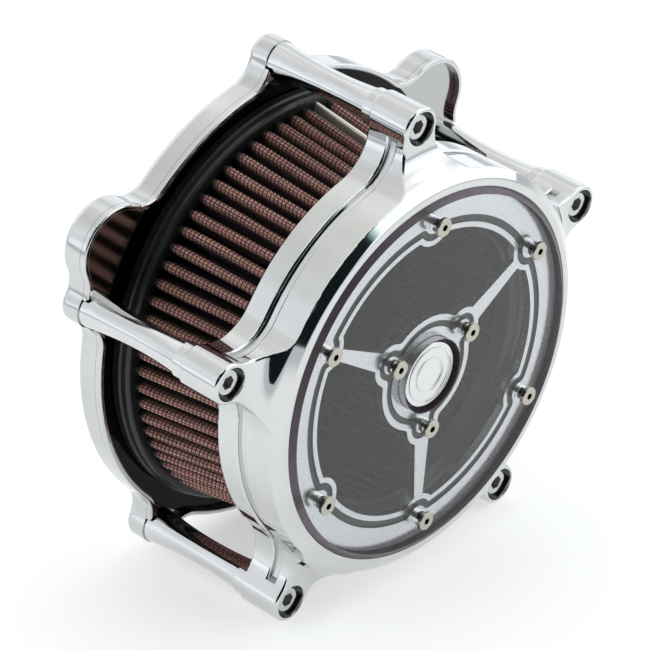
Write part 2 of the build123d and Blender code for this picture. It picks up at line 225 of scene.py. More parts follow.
def make_material(name):
    material = bpy.data.materials.new(name)
    material.use_nodes = True
    graph = Graph(material.node_tree)
    shader = graph.nodes["Principled BSDF"]
    place = graph.add("ShaderNodeTexCoord").outputs["Object"]
    return material, graph, shader, place


def shaded(colour, share):
    return tuple(c * share for c in colour)


# ------------------------------------------------------------------ materials
# In masks, a pair is two distances in mm, and the mask changes smoothly from the first to the second.
PLATE_FLOOR = (9.3, 9.7)            # heights round the backplate's recessed floor
WALLS_START = (9.7, 10.1)           # height where the walls round that floor start
BLACK_SHADE_EDGE = (88.2, 88.6)            # radius where the black ring of painted shade on the floor ends
LIP_EDGE = (87.2, 87.6)             # radius of the wall inside the backplate's narrow rim
LOBE_WALL = (14.6, 14.9)            # from the middle of a breather lobe to the wall round it
COUNTERBORE = (6.3, 6.5)            # from the middle of a cover screw to the wall of its counterbore
COUNTERBORE_TOP = (77.3, 77.5)      # height of the cover's front faces round the screws
COVER_GROOVE = (69.1, 72.7)         # heights of the groove round the cover's side
LOBE_OUTSIDE = (8.25, 8.35)         # from the middle of a cover screw to the outside of its lobe
NEAR_LOBE = (18.0, 24.0)            # from the middle of a cover screw, where the groove's walls turn duller
# The cover's crowned front, as (radius in mm, sine of its lean outwards), between two radii.
CROWN = ((73.4, 0.0), (75.163, 0.5878), (78.35, 0.5878), (79.92, 0.866), (80.654, 0.866), (88.448, 0.0))
CROWN_FROM, CROWN_TO = 72.0, 90.0
HEX_SOCKET = (2.55, 2.8)            # from the middle of a cover screw to its socket's edge
HEX_SOCKET_TOP = (75.7, 75.85)      # height just under the tops of the cover screws' heads
SHANK_TOP = (69.2, 69.4)            # height where their heads end and their shanks start
WINDOW_SCREW_TOP, WINDOW_SOCKET = 91.1, 1.35
INLET_SCREW_TOP, INLET_SOCKET = 11.95, 1.45
TRIM_GROOVE = (82.15, 83.17)        # heights of the trim plate's painted grooves
# Each painted groove follows a circle round the plate and steps round the screws: its radius, and how far
# from the middle of a screw it passes.
TRIM_WINDOW_EDGE, TRIM_WINDOW_BOSS = 60.5, 4.2
TRIM_HUB_EDGE, TRIM_HUB_BOSS = 17.8, 3.4
DISC_SIDE = (12.55, 12.65)          # radius of the side wall of the disc in the middle
WINDOW_RIM = (69.25, 69.4)          # radius of the window's bevelled edge
WINDOW_HOLE = (14.35, 14.5)         # radius of the hole in the window
GAUZE_HEIGHTS, GAUZE_CRESTS = (17.0, 68.5), (77.5, 70.3)    # the pleats' crests get closer towards the front
GAUZE_FOLD_SHADE = (0.1, 3.6)             # depth below the crest where the painted shade down the folds starts and where it is full
GAUZE_REAR = (18.0, 21.4)           # height where the dark band by the rear cap ends
GAUZE_RAGGED = 3.0                  # how far that end wanders
GAUZE_FRONT = (66.3, 68.3)          # height where the dark band by the front cap starts


def chrome(name, tint=(0.62, 0.628, 0.63), low=0.025, high=0.085, extra=None):
    """Bright plate. extra(g, place, base, rough) may change parts of it, and returns base, rough, normal."""
    material, g, shader, place = make_material(name)
    cloud = g.noise(place, 38.0, 4.0, 0.6)
    fine = g.noise(place, 900.0)
    base = g.mix(g.span(cloud, 0.35, 0.65), shaded(tint, 0.94), tint)
    rough = g.span(g.plus(cloud, g.times(fine, 0.3)), 0.45, 0.95, low, high)
    normal = None
    if extra:
        base, rough, normal = extra(g, place, base, rough)
    ripple = g.noise(place, 45.0, 3.0)
    g.fill(shader, {
        "Metallic": 1.0,
        "Base Color": base,
        "Roughness": rough,
        "Normal": g.bump(ripple, 0.03, 0.0006, normal),
    })
    return material


def plate_floor(g, place, base, rough):
    """The backplate's recessed floor is a darker mirror, painted shade, with a black ring of painted shade by
    the rim; the lobe walls are duller and painted lighter, and the wall inside the narrow rim is duller and
    painted darker.
    """
    polar = Polar(g, place)
    floor = polar.between(polar.height, *PLATE_FLOOR)
    # painted shade: a black ring on the floor next to the rim, where the element's cap meets it
    painted_black_ring_shade = g.times(floor, g.fall(polar.radius, *BLACK_SHADE_EDGE))
    # painted shade: the recessed floor is a darker mirror than the rest of the plate
    colour = g.mix(floor, base, (0.46, 0.465, 0.47))
    aside = g.minus(g.math("ABSOLUTE", polar.x), LOBE_ACROSS)
    from_lobe = g.diagonal(aside, g.minus(polar.z, LOBE_UP))
    above_floor = g.span(polar.height, *WALLS_START)
    lobe_wall_rough_and_painted_light = g.times(g.fall(from_lobe, *LOBE_WALL), above_floor)
    lip_rough_and_painted_shade = g.times(g.fall(polar.radius, *LIP_EDGE), above_floor)
    # painted light: the breather lobes' walls are painted lighter; painted shade: the wall inside the narrow
    # rim is painted darker. Both are also rougher.
    colour = g.mix(lobe_wall_rough_and_painted_light, colour, (0.80, 0.81, 0.82))
    colour = g.mix(lip_rough_and_painted_shade, colour, (0.30, 0.305, 0.31))
    walls = g.math("MAXIMUM", lobe_wall_rough_and_painted_light, lip_rough_and_painted_shade)
    rough = g.plus(rough, g.plus(g.times(floor, 0.06), g.times(walls, 0.35)))
    return g.mix(painted_black_ring_shade, colour, (0.012, 0.012, 0.013)), rough, None


def turned_crown(g, place, base, rough):
    """Smooth turned normals on the cover's crowned front, and duller counterbores and groove ends; the
    counterbores are also painted lighter, a painted highlight.
    """
    polar = Polar(g, place)
    across_crown = g.span(polar.radius, CROWN_FROM, CROWN_TO, kind="LINEAR")
    stops = [((radius - CROWN_FROM) / (CROWN_TO - CROWN_FROM), (lean,) * 3) for radius, lean in CROWN]
    share = g.ramp(across_crown, stops)
    outward = g.add("ShaderNodeSeparateColor", {"Color": share}).outputs[0]
    forward = g.math("SQRT", g.minus(1.0, g.times(outward, outward)))
    turned = g.add("ShaderNodeCombineXYZ", {
        0: g.times(g.math("DIVIDE", polar.x, polar.radius), outward),
        1: g.times(forward, -1.0),
        2: g.times(g.math("DIVIDE", polar.z, polar.radius), outward),
    }).outputs[0]
    world = g.add(
        "ShaderNodeVectorTransform", {"Vector": turned},
        vector_type="NORMAL", convert_from="OBJECT", convert_to="WORLD",
    ).outputs[0]
    # the turned normal is used only where the mesh already points nearly the same way
    plain = g.add("ShaderNodeNewGeometry").outputs["Normal"]
    match = g.vector("DOT_PRODUCT", plain, world).outputs["Value"]
    on_crown = g.span(match, math.cos(math.radians(13)), math.cos(math.radians(5)))
    blend = g.add("ShaderNodeMix", data_type="VECTOR")
    g.fill(blend, {"Factor": on_crown, 4: plain, 5: world})
    normal = g.vector("NORMALIZE", blend.outputs[1]).outputs[0]
    near = polar.to_nearest(*COVER_SCREWS)
    bore_dull_and_lit = g.times(g.fall(near, *COUNTERBORE), g.fall(polar.height, *COUNTERBORE_TOP))
    groove = g.times(polar.between(polar.height, *COVER_GROOVE, soft=0.1), g.fall(near, *NEAR_LOBE))
    groove = g.times(groove, g.span(near, *LOBE_OUTSIDE))
    rough = g.plus(rough, g.plus(g.times(bore_dull_and_lit, 0.26), g.times(groove, 0.3)))
    # painted light: the counterbores round the cover screws are painted lighter than the rest of the cover
    return g.mix(bore_dull_and_lit, base, (0.86, 0.865, 0.87)), rough, normal


def screw_chrome(name):
    """Clouded plate; the hex sockets are duller and painted dark grey as painted shade, and the shanks are
    painted darker as painted shade under the heads.
    """
    material, g, shader, place = make_material(name)
    polar = Polar(g, place)
    near = polar.to_nearest(*COVER_SCREWS)
    socket = g.times(g.fall(near, *HEX_SOCKET), g.fall(polar.height, *HEX_SOCKET_TOP))
    # painted shade: the hex sockets and, at a 0.6 share, the shanks under the heads are painted darker grey
    dark = g.math("MAXIMUM", socket, g.times(g.fall(polar.height, *SHANK_TOP), 0.6))
    cloud = g.noise(place, 300.0, 3.0, 0.6)
    bright = g.mix(cloud, (0.5, 0.51, 0.51), (0.64, 0.645, 0.64))
    g.fill(shader, {
        "Metallic": 1.0,
        "Base Color": g.mix(dark, bright, (0.42, 0.425, 0.42)),
        "Roughness": g.plus(g.times(socket, 0.3), g.spread(cloud, 0.08, 0.18)),
        "Normal": g.bump(cloud, 0.15, 0.00008),
    })
    return material


def rubber(name, tone=(0.012, 0.013, 0.014), low=0.32, high=0.46):
    """Moulded black rubber with faint wavy lines round it."""
    material, g, shader, place = make_material(name)
    polar = Polar(g, place)
    cloud = g.noise(place, 70.0, 4.0, 0.6)
    fine = g.noise(place, 1500.0, 3.0, 0.6)
    wobble = g.plus(polar.height, g.times(g.noise(place, 22.0), 1.6))
    lines = g.math("SINE", g.times(wobble, 7.0))
    g.fill(shader, {
        "Specular IOR Level": 0.5,
        "Base Color": g.mix(cloud, shaded(tone, 0.6), shaded(tone, 1.5)),
        "Roughness": g.spread(cloud, low, high),
        "Normal": g.bump(g.plus(g.times(lines, 0.35), fine), 0.22, 0.00012),
    })
    return material


def nickel(name, circle, top, socket_radius):
    """Pale nickel screws; the drive sockets are painted near black and the necks under the heads darker,
    painted shade where they are deep or under the heads.
    """
    material, g, shader, place = make_material(name)
    polar = Polar(g, place)
    near = polar.to_nearest(*circle)
    fine = g.noise(place, 1200.0, 3.0, 0.6)
    # painted shade: the drive sockets are painted near black, and the necks under the heads darker
    in_socket = g.fall(near, socket_radius - 0.12, socket_radius + 0.05)
    socket = g.times(in_socket, g.fall(polar.height, top - 0.12, top - 0.02))
    painted_neck_shade = g.times(g.fall(polar.height, top - 1.6, top - 1.5), 0.55)
    tone = (0.50, 0.48, 0.415)
    bright = g.mix(fine, shaded(tone, 0.85), shaded(tone, 1.12))
    g.fill(shader, {
        "Metallic": 1.0,
        "Base Color": g.mix(g.math("MAXIMUM", socket, painted_neck_shade), bright, (0.02, 0.02, 0.02)),
        "Roughness": g.spread(fine, 0.18, 0.3),
        "Normal": g.bump(fine, 0.12, 0.00005),
    })
    return material


def satin(name):
    material, g, shader, place = make_material(name)
    fine = g.noise(place, 2200.0, 3.0, 0.6)
    cloud = g.noise(place, 30.0)
    light = (0.66, 0.675, 0.70)
    g.fill(shader, {
        "Metallic": 1.0,
        "Base Color": g.mix(cloud, shaded(light, 0.95), light),
        "Roughness": g.spread(fine, 0.22, 0.32),
        "Normal": g.bump(fine, 0.1, 0.00005),
    })
    return material


def trim_satin(name):
    """Satin face with dark grey paint in the two decorative grooves."""
    material, g, shader, place = make_material(name)
    polar = Polar(g, place)
    near_outer = polar.to_nearest(*OUTER_WINDOW_SCREWS)
    near_hub = polar.to_nearest(*HUB_WINDOW_SCREWS)
    window = g.math(
        "MAXIMUM", g.minus(polar.radius, TRIM_WINDOW_EDGE), g.minus(TRIM_WINDOW_BOSS, near_outer),
    )
    hub = g.math("MINIMUM", g.minus(polar.radius, TRIM_HUB_EDGE), g.minus(near_hub, TRIM_HUB_BOSS))
    groove = g.math("MAXIMUM", polar.between(window, -3.8, 0.3), polar.between(hub, -0.3, 3.4))
    paint = g.times(groove, polar.between(polar.height, *TRIM_GROOVE, soft=0.02))
    fine = g.noise(place, 2200.0, 3.0, 0.6)
    cloud = g.noise(place, 30.0)
    metal = g.mix(cloud, (0.66, 0.68, 0.71), (0.72, 0.735, 0.765))
    dark = g.mix(fine, (0.035, 0.042, 0.046), (0.06, 0.07, 0.075))
    g.fill(shader, {
        "Base Color": g.mix(paint, metal, dark),
        "Metallic": g.minus(1.0, paint),
        "Roughness": g.plus(g.spread(fine, 0.22, 0.34), g.times(paint, 0.25)),
        "Normal": g.bump(fine, 0.1, 0.00005),
    })
    return material


def turned_disc(name):
    """Turned face with fine rings, and a side wall painted darker and streaked light and dark round the disc,
    painted shade and painted reflections.
    """
    material, g, shader, place = make_material(name)
    polar = Polar(g, place)
    rings = g.math("SINE", g.times(polar.radius, 26.0))
    cloud = g.noise(place, 120.0, 3.0, 0.6)
    face = g.mix(cloud, (0.68, 0.69, 0.70), (0.80, 0.81, 0.82))
    around = g.add("ShaderNodeCombineXYZ", {0: g.times(polar.angle, 9.0)}).outputs[0]
    # painted reflection and painted shade: the side wall is darker than the face, with light and dark streaks
    # round it
    painted_reflection_streak = g.span(g.noise(around, 6.0, 3.0, 0.7), 0.35, 0.65)
    painted_shade_wall = g.mix(painted_reflection_streak, (0.16, 0.165, 0.17), (0.50, 0.505, 0.51))
    g.fill(shader, {
        "Metallic": 1.0,
        "Base Color": g.mix(g.span(polar.radius, *DISC_SIDE), face, painted_shade_wall),
        "Roughness": g.spread(cloud, 0.16, 0.26),
        "Normal": g.bump(rings, 0.2, 0.00004),
    })
    return material


def window_glass(name):
    """Clear acrylic-like sheet; its cut and bevelled edges are frosted, and painted dark and slightly purple
    as a painted reflection.
    """
    material, g, shader, place = make_material(name)
    polar = Polar(g, place)
    cloud = g.noise(place, 25.0)
    fine = g.noise(place, 500.0, 3.0, 0.6)
    edge = g.math("MAXIMUM", g.span(polar.radius, *WINDOW_RIM), g.fall(polar.radius, *WINDOW_HOLE))
    clear = g.mix(cloud, (0.955, 0.96, 0.96), (0.975, 0.98, 0.98))
    # painted reflection: the frosted edges are painted dark purple-grey; the frosting itself is the lower
    # transmission and higher roughness
    frosted_painted_dark = g.mix(fine, (0.065, 0.048, 0.06), (0.135, 0.103, 0.122))
    g.fill(shader, {
        "IOR": 1.34,
        "Base Color": g.mix(edge, clear, frosted_painted_dark),
        "Transmission Weight": g.span(edge, 0.0, 1.0, 1.0, 0.45),
        "Roughness": g.times(edge, 0.3),
    })
    return material


def gauze(name):
    """Oiled cotton gauze: salmon on the crests, painted shade dark down the folds, and dark near the rubber
    caps.
    """
    material, g, shader, place = make_material(name)
    polar = Polar(g, place)
    crest = g.span(polar.height, *GAUZE_HEIGHTS, *GAUZE_CRESTS, kind="LINEAR")
    depth = g.minus(crest, polar.radius)
    weave = g.noise(place, 2600.0, 3.0, 0.6)
    cloud = g.noise(place, 60.0, 3.0, 0.6)
    fleck = g.noise(place, 700.0, 2.0, 0.6)
    light = g.mix(fleck, (0.47, 0.20, 0.165), (0.90, 0.465, 0.385))
    light = g.mix(g.spread(cloud, 0.0, 0.4), light, (0.35, 0.12, 0.095))
    # painted shade: the gauze is painted darker down the folds, away from the crests
    colour = g.mix(g.span(depth, *GAUZE_FOLD_SHADE), light, (0.055, 0.02, 0.017))
    tear = g.times(g.minus(g.noise(place, 420.0, 2.0, 0.6), 0.5), GAUZE_RAGGED)
    rear = g.fall(g.plus(polar.height, tear), *GAUZE_REAR)
    front = g.span(polar.height, *GAUZE_FRONT, 0.0, 0.8)
    g.fill(shader, {
        "Sheen Weight": 0.12,
        "Base Color": g.mix(g.math("MAXIMUM", rear, front), colour, (0.006, 0.006, 0.006)),
        "Roughness": g.spread(cloud, 0.55, 0.75),
        "Normal": g.bump(g.plus(weave, fleck), 0.5, 0.00025),
    })
    return material


def wire(name):
    material, g, shader, place = make_material(name)
    fine = g.noise(place, 900.0)
    g.fill(shader, {
        "Base Color": g.mix(fine, (0.008, 0.007, 0.007), (0.026, 0.02, 0.019)),
        "Roughness": g.spread(fine, 0.3, 0.42),
    })
    return material


def folded_strip(name):
    material, g, shader, place = make_material(name)
    fine = g.noise(place, 800.0, 3.0, 0.6)
    cloud = g.noise(place, 90.0)
    g.fill(shader, {
        "Metallic": 0.6,
        "Base Color": g.mix(cloud, (0.70, 0.68, 0.60), (0.86, 0.84, 0.77)),
        "Roughness": g.spread(fine, 0.28, 0.42),
        "Normal": g.bump(fine, 0.1, 0.00006),
    })
    return material


def dress(material, *nodes):
    """Gives CAD nodes a material and smooth shading."""
    for node in nodes:
        data = NODES[node].data
        data.materials.clear()
        data.materials.append(material)
        for polygon in data.polygons:
            polygon.use_smooth = True


CHROME_TURNED = chrome("turned_chrome", (0.70, 0.705, 0.71), 0.03, 0.08)

dress(chrome("plate_chrome", extra=plate_floor), "backplate")
dress(chrome("cover_chrome", (0.67, 0.678, 0.682), extra=turned_crown), "cover_ring")
dress(screw_chrome("socket_screw_chrome"), "cover_screws")
dress(CHROME_TURNED, *("standoff_%d" % number for number in range(1, 6)))
dress(rubber("black_rubber"), "filter_rear_cap", "filter_front_cap")
dress(
    rubber("seal_rubber", (0.018, 0.018, 0.018), 0.45, 0.6),
    "throttle_gasket", "breather_o_ring_left", "breather_o_ring_right", "lens_seal",
)
dress(nickel("nickel_outer", OUTER_WINDOW_SCREWS, WINDOW_SCREW_TOP, WINDOW_SOCKET), "outer_lens_screws")
dress(nickel("nickel_hub", HUB_WINDOW_SCREWS, WINDOW_SCREW_TOP, WINDOW_SOCKET), "hub_lens_screws")
dress(nickel("nickel_inner", INLET_RING_SCREWS, INLET_SCREW_TOP, INLET_SOCKET), "inlet_ring_screws")
dress(trim_satin("painted_satin"), "trim_plate")
dress(satin("satin_aluminium"), "inlet_ring")
dress(turned_disc("turned_disc"), "medallion")
dress(window_glass("clear_window"), "lens")


# ------------------------------------------------------------------ clean shading on the CAD surfaces
MERGE_DISTANCE = 0.000004
SHARP_ANGLE = math.radians(28)


def shading_group():
    """Joins the CAD faces' loose edges and marks edges sharp by their angle."""
    tree = bpy.data.node_groups.new("clean_shading", "GeometryNodeTree")
    for way in ("INPUT", "OUTPUT"):
        tree.interface.new_socket("Geometry", in_out=way, socket_type="NodeSocketGeometry")
    g = Graph(tree)
    start = g.add("NodeGroupInput").outputs[0]
    merge = g.add("GeometryNodeMergeByDistance", {"Geometry": start, "Distance": MERGE_DISTANCE})
    angle = g.add("GeometryNodeInputMeshEdgeAngle").outputs[0]
    sharp = g.add(
        "FunctionNodeCompare", {0: angle, 1: SHARP_ANGLE}, data_type="FLOAT", operation="GREATER_THAN",
    )
    faces = g.add(
        "GeometryNodeSetShadeSmooth", {"Geometry": merge.outputs[0], "Shade Smooth": True}, domain="FACE",
    )
    edges = g.add(
        "GeometryNodeSetShadeSmooth",
        {"Geometry": faces.outputs[0], "Selection": sharp.outputs[0], "Shade Smooth": False},
        domain="EDGE",
    )
    g.add("NodeGroupOutput", {0: edges.outputs[0]})
    return tree


SHADING = shading_group()


def clean(obj):
    modifier = obj.modifiers.new("clean_shading", "NODES")
    modifier.node_group = SHADING
    weighted = obj.modifiers.new("weighted_normals", "WEIGHTED_NORMAL")
    weighted.mode = "FACE_AREA"
    weighted.weight = 50
    weighted.keep_sharp = True


for name, obj in NODES.items():
    if name not in ("filter_media", "seam_clip"):
        clean(obj)


# ------------------------------------------------------------------ pleated media under wire mesh
PLEATS = 70
SEAM_ANGLE = math.radians(81.0)
SEAM_DROP = 6.0                     # the pleat under the seam strip is this much lower
REAR_CREST, FRONT_CREST = 77.5, 70.3
# Half a pleat's outline, from its crest to the bottom of the fold: (to the side, down), in mm.
HALF = np.array((
    (0.0, 0.0), (0.42, 0.05), (0.78, 0.19), (1.12, 0.46), (1.4, 0.85), (1.6, 1.4), (1.74, 2.3),
    (1.86, 3.6), (2.0, 5.2), (2.2, 7.4), (2.45, 9.6), (2.62, 11.0), (2.96, 11.5),
))
# Near each cap a pleat dips: over what height and how far, and it narrows by a share at the rear.
REAR_PINCH, REAR_DIP, REAR_NARROWING = 4.2, 1.2, 0.28
FRONT_PINCH, FRONT_DIP = 2.0, 0.7
HOOPS = 30
WIRE_STEP = 1.717
FIRST_HOOP = 0.55
WIRE_RADIUS = 0.23
HOOP_LIFT, STRAIGHT_LIFT = 0.1, 0.02
media_low, media_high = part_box("filter_media")
MEDIA_START = -media_high.y * 1000
MEDIA_END = -media_low.y * 1000


def run_at(height):
    """How far along the filter a height is, from 0 at the rear cap to 1 at the front cap."""
    return (height - MEDIA_START) / (MEDIA_END - MEDIA_START)


def taper_at(height):
    """The filter's size at a height, as a share of its size at the rear cap."""
    return 1 + (FRONT_CREST / REAR_CREST - 1) * run_at(height)


def profile(arc_places):
    """Points of one pleat across its crest, and the outward normals, at given distances along the fold."""
    left = HALF[:0:-1] * (-1, 1)
    full = np.vstack((left, HALF))
    steps = np.hypot(*np.diff(full, axis=0).T)
    along = np.concatenate(((0,), np.cumsum(steps)))
    along -= along[len(HALF) - 1]
    across = np.interp(arc_places, along, full[:, 0])
    depth = np.interp(arc_places, along, full[:, 1])
    nudge = 0.15
    ahead = arc_places + nudge
    behind = arc_places - nudge
    slope_across = np.interp(ahead, along, full[:, 0]) - np.interp(behind, along, full[:, 0])
    slope_depth = np.interp(ahead, along, full[:, 1]) - np.interp(behind, along, full[:, 1])
    size = np.hypot(slope_across, slope_depth)
    return across, depth, slope_depth / size, slope_across / size


def pleat_leans():
    """Each pleat's own small sway, double sway and bulge, in mm."""
    rng = random.Random(20)
    leans = []
    for _ in range(PLEATS):
        leans.append((rng.uniform(-0.32, 0.32), rng.uniform(-0.25, 0.25), rng.uniform(-0.12, 0.12)))
    return np.array(leans)


LEANS = pleat_leans()


def on_pleats(across, depth, height):
    """Places profile points on every pleat at a height; the result is pleats x points x 3, in metres."""
    run = run_at(height)
    scale = taper_at(height)
    pinch = max(0.0, 1 - (height - MEDIA_START) / REAR_PINCH) ** 2
    pinch_front = max(0.0, 1 - (MEDIA_END - height) / FRONT_PINCH) ** 2
    bottom = HALF[-1, 1]
    depth = depth + (REAR_DIP * pinch + FRONT_DIP * pinch_front) * (1 - depth / bottom)
    across = across * (1 - REAR_NARROWING * pinch * (1 - depth / bottom))
    depths = np.repeat(depth[None, :], PLEATS, axis=0)
    depths[0] = SEAM_DROP + depths[0] * (bottom - SEAM_DROP) / bottom
    sway = LEANS[:, 0] * math.sin(math.pi * run) + LEANS[:, 1] * math.sin(2 * math.pi * run)
    sway = sway[:, None] * (1 - depths / bottom)
    depths = depths + (LEANS[:, 2] * math.sin(math.pi * run))[:, None] * (1 - depths / bottom)
    turn = SEAM_ANGLE + np.arange(PLEATS) * 2 * math.pi / PLEATS
    out = (REAR_CREST - depths) * scale
    side = (across[None, :] + sway) * scale
    x = out * np.cos(turn)[:, None] - side * np.sin(turn)[:, None]
    z = out * np.sin(turn)[:, None] + side * np.cos(turn)[:, None]
    y = np.full_like(x, -height)
    return np.stack((x, y, z), axis=-1) * MM


def mesh_object(name, points, faces, material):
    mesh = bpy.data.meshes.new(name)
    mesh.from_pydata([tuple(p) for p in points], [], [tuple(f) for f in faces])
    mesh.materials.append(material)
    bm = bmesh.new()
    bm.from_mesh(mesh)
    bmesh.ops.recalc_face_normals(bm, faces=bm.faces)
    bm.to_mesh(mesh)
    bm.free()
    mesh.polygons.foreach_set("use_smooth", [True] * len(mesh.polygons))
    mesh.update()
    piece = bpy.data.objects.new(name, mesh)
    scene.collection.objects.link(piece)
    return piece


def inner_skin(heights, count):
    """The rings of the sheet's inner side: one shallow wave to a pleat, in metres."""
    crest, wave, slope_share, seam_limit = 72.0, 11.0, 0.75, 66.5
    places = np.linspace(0, 1, count, endpoint=False) * 2 - 1
    reach = crest - wave * np.clip(np.abs(places) / slope_share, 0, 1)
    turn = SEAM_ANGLE + (np.arange(PLEATS)[:, None] * 2 + places[None, :]) * math.pi / PLEATS
    rings = []
    for height in heights:
        scale = taper_at(height)
        radius = np.repeat(reach[None, :], PLEATS, axis=0) * scale
        radius[0] = np.minimum(radius[0], seam_limit * scale)
        back = np.full_like(radius, -height)
        ring = np.stack((radius * np.cos(turn), back, radius * np.sin(turn)), axis=-1)
        rings.append(ring.reshape(-1, 3) * MM)
    return rings


def pleated_sheet():
    """One closed folded sheet: outer skin, inner skin and both ends, pillowed between the wires."""
    arc_end, into_cap = 12.75, 0.3
    arcs = np.concatenate((-np.linspace(arc_end, 0, 12)[:-1], np.linspace(0, arc_end, 12)))[:-1]
    across, depth, out_across, out_depth = profile(arcs)
    across[0], depth[0] = -HALF[-1, 0], HALF[-1, 1]
    count = len(arcs)
    heights = np.arange(2 * HOOPS + 1) * WIRE_STEP / 2 + MEDIA_START
    heights = np.clip(heights, None, MEDIA_END)
    heights[0], heights[-1] = MEDIA_START - into_cap, MEDIA_END + into_cap
    outer = []
    for index, height in enumerate(heights):
        pillow = 0.16 if index % 2 else -0.04
        ring = on_pleats(across + out_across * pillow, depth - out_depth * pillow, height)
        outer.append(ring.reshape(-1, 3))
    points = np.vstack(outer + inner_skin(heights, count))
    size = PLEATS * count
    levels = len(heights)
    step = np.arange(size)
    following = (step + 1) % size

    def strip_between(low, high):
        return np.stack((low + step, low + following, high + following, high + step), axis=1)

    faces = []
    for level in range(levels - 1):
        low, high = level * size, (level + 1) * size
        faces.append(strip_between(low, high))
        low, high = (levels + level) * size, (levels + level + 1) * size
        faces.append(np.stack((low + following, low + step, high + step, high + following), axis=1))
    for level in (0, levels - 1):
        faces.append(strip_between(level * size, (levels + level) * size))
    return mesh_object("pleated_gauze", points, np.vstack(faces).tolist(), gauze("oiled_gauze"))


def tube_faces(start, stops, sides=3):
    """Faces of a closed tube whose rings of points follow each other from start."""
    faces = []
    for stop in range(stops - 1):
        for side in range(sides):
            low = start + stop * sides
            after = (side + 1) % sides
            faces.append((low + side, low + after, low + sides + after, low + sides + side))
    faces.append(tuple(start + side for side in range(sides)))
    faces.append(tuple(start + (stops - 1) * sides + side for side in reversed(range(sides))))
    return faces


def wire_mesh():
    """Black wires pressed on the gauze: hoops across each pleat and straight wires along it."""
    points, faces = [], []
    spokes = [(math.cos(a), math.sin(a)) for a in (math.pi / 2, math.pi * 7 / 6, math.pi * 11 / 6)]

    def add_wire(stations):
        faces.extend(tube_faces(len(points), len(stations)))
        points.extend(stations.reshape(-1, 3).tolist())

    arcs = np.array((-7.4, -5.2, -3.4, -2.2, -1.3, -0.5, 0.5, 1.3, 2.2, 3.4, 5.2, 7.4))
    across, depth, out_across, out_depth = profile(arcs)
    for index in range(HOOPS):
        height = MEDIA_START + FIRST_HOOP + index * WIRE_STEP
        corners = []
        for outward, along in spokes:
            lift = HOOP_LIFT + WIRE_RADIUS * outward
            corners.append(on_pleats(
                across + out_across * lift, depth - out_depth * lift, height + WIRE_RADIUS * along,
            ))
        block = np.stack(corners, axis=2)
        for pleat in range(PLEATS):
            add_wire(block[pleat])

    levels = np.linspace(MEDIA_START + 0.1, MEDIA_END - 0.1, 9)
    levels[1:4] = MEDIA_START + np.array((1.2, 2.6, 4.4))
    runs = np.array((-6.6, -5.1, -3.7, -2.4, -1.2, 0.0, 1.2, 2.4, 3.7, 5.1, 6.6))
    across, depth, out_across, out_depth = profile(runs)
    blocks = []
    for height in levels:
        corners = []
        for outward, along in spokes:
            lift = STRAIGHT_LIFT + WIRE_RADIUS * outward
            side = WIRE_RADIUS * along
            corners.append(on_pleats(
                across + out_across * lift + out_depth * side,
                depth - out_depth * lift + out_across * side, height,
            ))
        blocks.append(np.stack(corners, axis=2))
    tubes = np.stack(blocks, axis=2)
    for pleat in range(PLEATS):
        for line in range(len(runs)):
            add_wire(tubes[pleat, line])
    return mesh_object("media_wire_mesh", points, faces, wire("black_wire"))


def seam_strip():
    """Bright strip folded over the seam: a rounded back, straight legs and small turned-out feet."""
    loop = []
    for step in range(9):
        a = math.pi * step / 8
        loop.append((1.0 * math.cos(a), -0.8 + 1.0 * math.sin(a)))
    loop += [(-1.0, -2.2), (-0.92, -4.6), (-1.45, -5.1), (-1.45, -5.35), (-0.7, -5.35), (-0.45, -4.8)]
    loop += [(0.45, -4.8), (0.7, -5.35), (1.45, -5.35), (1.45, -5.1), (0.92, -4.6), (1.0, -2.2)]
    heights = np.linspace(MEDIA_START, MEDIA_END, 15)
    points = []
    for height in heights:
        crest = REAR_CREST + (FRONT_CREST - REAR_CREST) * run_at(height)
        for side, lift in loop:
            out = crest + lift
            points.append((
                (out * math.cos(SEAM_ANGLE) - side * math.sin(SEAM_ANGLE)) * MM,
                -height * MM,
                (out * math.sin(SEAM_ANGLE) + side * math.cos(SEAM_ANGLE)) * MM,
            ))
    faces = tube_faces(0, len(heights), len(loop))
    strip = mesh_object("seam_strip", points, faces, folded_strip("folded_metal"))
    clean(strip)
    return strip


sheet = pleated_sheet()
wires = wire_mesh()
strip = seam_strip()
for piece in (sheet, wires, strip):
    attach(piece, "filter_element")
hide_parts("filter_media")
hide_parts("seam_clip")


# ------------------------------------------------------------------ medallion rings
def lathe(name, outline, material, steps=96):
    """Closed ring turned about the centre line from (radius, height) points in millimetres."""
    points, faces = [], []
    count = len(outline)
    for step in range(steps):
        a = 2 * math.pi * step / steps
        for radius, height in outline:
            points.append((radius * math.cos(a) * MM, -height * MM, radius * math.sin(a) * MM))
    for step in range(steps):
        low, high = step * count, (step + 1) % steps * count
        for index in range(count):
            after = (index + 1) % count
            faces.append((low + index, low + after, high + after, high + index))
    return mesh_object(name, points, faces, material)


# One side of a ring's cross-section from its foot in the disc upwards, and its top: mm from the ring's middle
# line, and from the disc's face.
RING_SIDE = ((0.45, -0.1), (0.36, 0.22))
RING_TOP = 0.32
medallion_front = -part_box("medallion")[0].y * 1000
for number, radius in enumerate((10.4, 6.6), start=1):
    outline = [(radius - aside, medallion_front + height) for aside, height in RING_SIDE]
    outline.append((radius, medallion_front + RING_TOP))
    outline += [(radius + aside, medallion_front + height) for aside, height in reversed(RING_SIDE)]
    ring = lathe("medallion_ring_%d" % number, outline, CHROME_TURNED)
    clean(ring)
    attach(ring, "cover")


# ------------------------------------------------------------------ stage
# The air cleaner stands on the lowest points of the backplate and the cover, which are at these Y places.
REAR_FOOT_Y, FRONT_FOOT_Y = -0.0112, -0.0765
FLOOR_GAP = 0.0001
